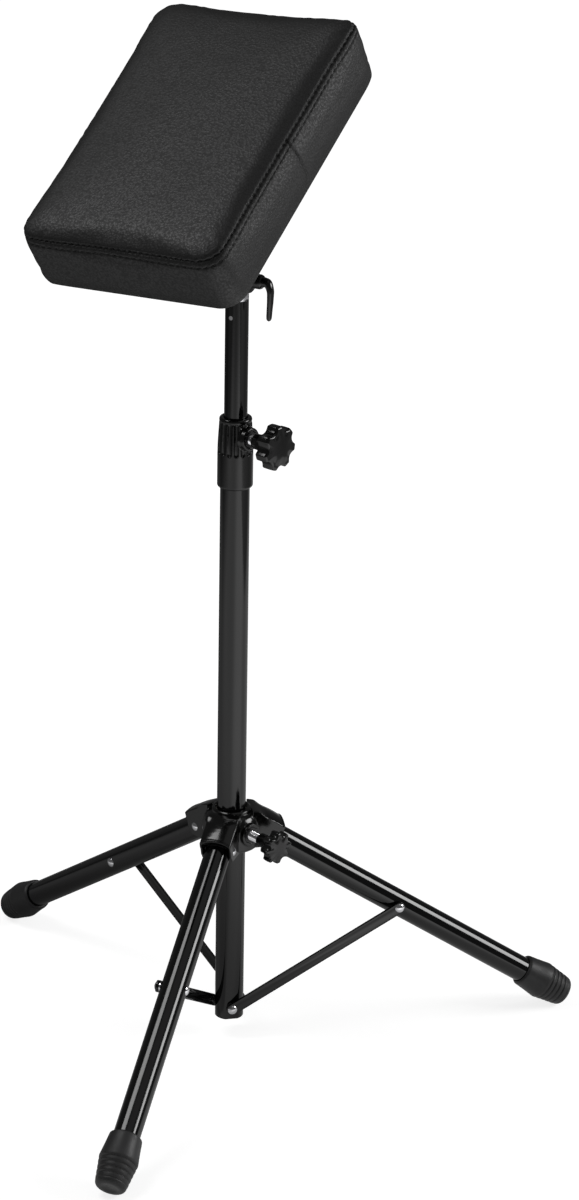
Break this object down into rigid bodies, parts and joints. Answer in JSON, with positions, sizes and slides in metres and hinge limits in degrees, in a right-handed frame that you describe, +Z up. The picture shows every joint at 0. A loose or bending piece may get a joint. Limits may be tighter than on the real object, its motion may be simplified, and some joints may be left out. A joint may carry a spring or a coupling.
{
  "type": "tattoo arm rest stand",
  "caption": "Padded leather arm rest that tilts and swivels on a telescopic column, with clamp knobs and a folding tripod of legs and braces.",
  "frame": {"origin": "on the floor, under the middle of the stand's bounding box", "axes": "+Z up along the column; X along the tilt bolt; the pad's low end faces -Y"},
  "size_m": [0.6004, 0.5882, 1.0199],
  "materials": {
    "black_paint": "gloss",
    "black_nylon": "gloss",
    "dull_nylon": "satin",
    "bright_steel": "polished",
    "silver_steel": "satin",
    "brass_shoe": "satin",
    "black_rubber": "matte",
    "pale_nylon": "satin",
    "plywood": "matte",
    "foam": "matte",
    "charcoal_leather": "satin",
    "black_cloth": "matte"
  },
  "bodies": {
    "column": {"column_tube": "black_paint", "column_plug": "dull_nylon", "column_rivets": "bright_steel", "column_washers": "dull_nylon", "clamp_collar": "black_nylon", "collar_nut": "bright_steel", "collar_shoe": "brass_shoe"},
    "collar_knob": {"collar_knob": "black_nylon", "collar_stud": "bright_steel"},
    "hub": {"hub_body": "black_nylon", "hub_bush": "dull_nylon", "hub_nut": "bright_steel", "hub_shoe": "brass_shoe", "leg_pins": "bright_steel"},
    "hub_knob": {"hub_knob": "black_nylon", "hub_stud": "bright_steel"},
    "leg_1": {"leg_tube_1": "black_paint", "leg_knuckle_1": "dull_nylon", "foot_tip_1": "black_rubber", "leg_rivet_1": "bright_steel"},
    "leg_2": {"leg_tube_2": "black_paint", "leg_knuckle_2": "dull_nylon", "foot_tip_2": "black_rubber", "leg_rivet_2": "bright_steel"},
    "leg_3": {"leg_tube_3": "black_paint", "leg_knuckle_3": "dull_nylon", "foot_tip_3": "black_rubber", "leg_rivet_3": "bright_steel"},
    "brace_1": {"brace_bar_1": "black_paint", "brace_rivet_1": "bright_steel"},
    "brace_2": {"brace_bar_2": "black_paint", "brace_rivet_2": "bright_steel"},
    "brace_3": {"brace_bar_3": "black_paint", "brace_rivet_3": "bright_steel"},
    "glide": {"mast_guide": "pale_nylon"},
    "mast": {"mast_tube": "black_paint", "mast_head": "silver_steel", "mast_cross_pin": "bright_steel", "tilt_bolt": "bright_steel", "friction_washers": "dull_nylon", "lever_washer": "bright_steel"},
    "lever": {"lever_handle": "black_nylon", "lever_insert": "bright_steel"},
    "pad": {"tilt_yoke": "silver_steel", "pad_plate": "black_paint", "plate_screws": "bright_steel", "tee_nuts": "bright_steel", "pad_board": "plywood", "pad_foam": "foam", "pad_cover": "charcoal_leather", "dust_cloth": "black_cloth"}
  },
  "joints": [
    {"name": "hub_slide", "type": "slide", "parent": "column", "child": "hub", "axis": [0, 0, 1], "range_m": [0, 0.163]},
    {"name": "leg_1_fold", "type": "hinge", "parent": "hub", "child": "leg_1", "pos_m": [0.06315, 0.07402, 0.21473], "axis": [-0.6782, 0.7349, 0], "range_deg": [0, 56.59]},
    {"name": "leg_2_fold", "type": "hinge", "parent": "hub", "child": "leg_2", "pos_m": [0.00198, 0.06024, 0.21473], "axis": [-0.2974, -0.9548, 0], "range_deg": [0, 56.59]},
    {"name": "leg_3_fold", "type": "hinge", "parent": "hub", "child": "leg_3", "pos_m": [0.0445, 0.01416, 0.21473], "axis": [0.9755, 0.2198, 0], "range_deg": [0, 56.59]},
    {"name": "brace_1_fold", "type": "hinge", "parent": "column", "child": "brace_1", "pos_m": [0.04624, 0.03897, 0.032], "axis": [0.6782, -0.7349, 0], "range_deg": [0, 49.4]},
    {"name": "brace_2_fold", "type": "hinge", "parent": "column", "child": "brace_2", "pos_m": [0.0408, 0.06313, 0.032], "axis": [0.2974, 0.9548, 0], "range_deg": [0, 49.4]},
    {"name": "brace_3_fold", "type": "hinge", "parent": "column", "child": "brace_3", "pos_m": [0.0226, 0.04633, 0.032], "axis": [-0.9755, -0.2198, 0], "range_deg": [0, 49.4]},
    {"name": "collar_knob_turn", "type": "hinge", "parent": "column", "child": "collar_knob", "pos_m": [0.03655, 0.04948, 0.6245], "axis": [0.9816, -0.1908, 0], "range_deg": [0, 720]},
    {"name": "hub_knob_turn", "type": "hinge", "parent": "hub", "child": "hub_knob", "pos_m": [0.03655, 0.04948, 0.22423], "axis": [0.9548, -0.2974, 0], "range_deg": [0, 720]},
    {"name": "mast_slide", "type": "slide", "parent": "column", "child": "glide", "axis": [0, 0, 1], "range_m": [-0.09, 0.27]},
    {"name": "mast_swivel", "type": "hinge", "parent": "glide", "child": "mast", "pos_m": [0.03655, 0.04948, 0.75705], "axis": [0, 0, 1], "continuous": true},
    {"name": "pad_tilt", "type": "hinge", "parent": "mast", "child": "pad", "pos_m": [0.03655, 0.04948, 0.77705], "axis": [1, 0, 0], "range_deg": [-54, 55]},
    {"name": "lever_turn", "type": "hinge", "parent": "mast", "child": "lever", "pos_m": [0.03655, 0.04948, 0.77705], "axis": [1, 0, 0], "range_deg": [-60, 60]}
  ],
  "couplings": [
    {"joint": "leg_1_fold", "follows": "hub_slide", "rad_per_m": 6.0273},
    {"joint": "leg_2_fold", "follows": "hub_slide", "rad_per_m": 6.0273},
    {"joint": "leg_3_fold", "follows": "hub_slide", "rad_per_m": 6.0273},
    {"joint": "brace_1_fold", "follows": "hub_slide", "rad_per_m": 5.2572},
    {"joint": "brace_2_fold", "follows": "hub_slide", "rad_per_m": 5.2572},
    {"joint": "brace_3_fold", "follows": "hub_slide", "rad_per_m": 5.2572}
  ]
}
